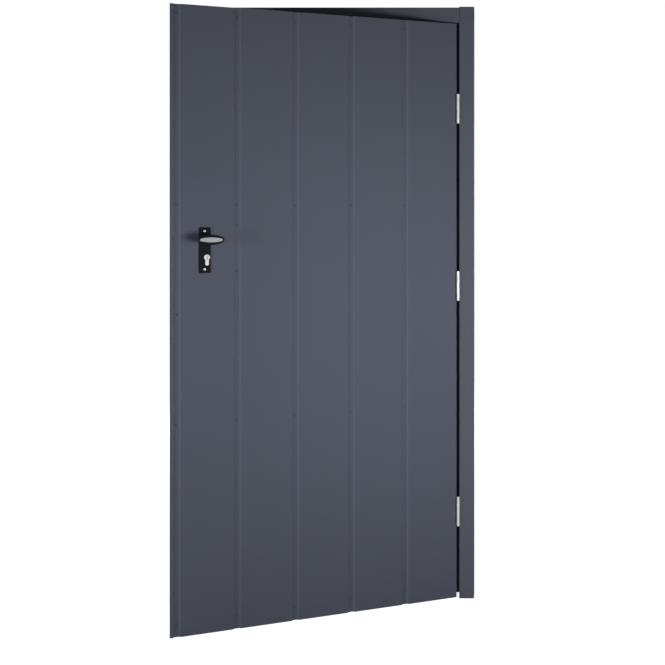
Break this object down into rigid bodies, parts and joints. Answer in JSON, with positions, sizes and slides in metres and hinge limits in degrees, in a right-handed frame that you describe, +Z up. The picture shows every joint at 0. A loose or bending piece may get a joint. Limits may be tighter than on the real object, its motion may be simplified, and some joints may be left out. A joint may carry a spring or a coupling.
{
  "type": "steel utility door in frame",
  "caption": "Outward-opening steel utility door standing ajar in its box-section frame, clad in vertical roll-formed planks, with butt hinges and an oval lever handle.",
  "frame": {"origin": "on the outer side face of the hinge jamb, at floor level, half way through the frame's depth", "axes": "+X out of the hinge jamb's side face, along the wall; +Y through the doorway, away from the outside; +Z up"},
  "size_m": [1.013, 0.3592, 1.983],
  "materials": {
    "frame_paint": "satin anthracite powder coat",
    "leaf_paint": "satin anthracite powder coat",
    "hinge_steel": "plain zinc-plated steel",
    "lock_steel": "nickel-plated, fine brushed",
    "lever_black": "satin black",
    "inlay_silver": "satin anodised, bare",
    "seal_rubber": "matt black"
  },
  "bodies": {
    "frame": {"hinge_jamb": "frame_paint", "latch_jamb": "frame_paint", "header": "frame_paint", "hinge_jamb_cap": "frame_paint", "latch_jamb_cap": "frame_paint", "hinge_stop": "frame_paint", "latch_stop": "frame_paint", "header_stop": "frame_paint", "hinge_seal": "seal_rubber", "latch_seal": "seal_rubber", "header_seal": "seal_rubber", "keep_plate": "lock_steel", "lower_hinge_jamb_flap": "hinge_steel", "middle_hinge_jamb_flap": "hinge_steel", "upper_hinge_jamb_flap": "hinge_steel", "lower_hinge_pin": "hinge_steel", "middle_hinge_pin": "hinge_steel", "upper_hinge_pin": "hinge_steel"},
    "leaf": {"bottom_rail": "leaf_paint", "cross_rail_lower": "leaf_paint", "cross_rail_upper": "leaf_paint", "hinge_stile": "leaf_paint", "inner_plate": "lever_black", "latch_edge_cap": "leaf_paint", "latch_stile": "leaf_paint", "lock_bolts": "lock_steel", "lock_box": "leaf_paint", "lock_case": "lock_steel", "lock_cylinder": "lock_steel", "lock_forend": "lock_steel", "lower_hinge_leaf_flap": "hinge_steel", "middle_hinge_leaf_flap": "hinge_steel", "outer_plate": "lever_black", "plank_1": "leaf_paint", "plank_2": "leaf_paint", "plank_3": "leaf_paint", "plank_4": "leaf_paint", "plank_5": "leaf_paint", "top_rail": "leaf_paint", "upper_hinge_leaf_flap": "hinge_steel"},
    "handle": {"outer_lever": "lever_black", "inner_lever": "lever_black", "lever_spindle": "lock_steel", "lever_inlay": "inlay_silver"}
  },
  "joints": [
    {"name": "door_swing", "type": "hinge", "parent": "frame", "child": "leaf", "pos_m": [-0.0535, -0.0305, 0.965], "axis": [0, 0, 1], "range_deg": [-18, 97]},
    {"name": "handle_turn", "type": "hinge", "parent": "leaf", "child": "handle", "pos_m": [-0.81043, -0.27066, 1.21], "axis": [0.309, -0.9511, 0], "range_deg": [-40, 0], "stiffness_Nm_per_rad": 3}
  ]
}
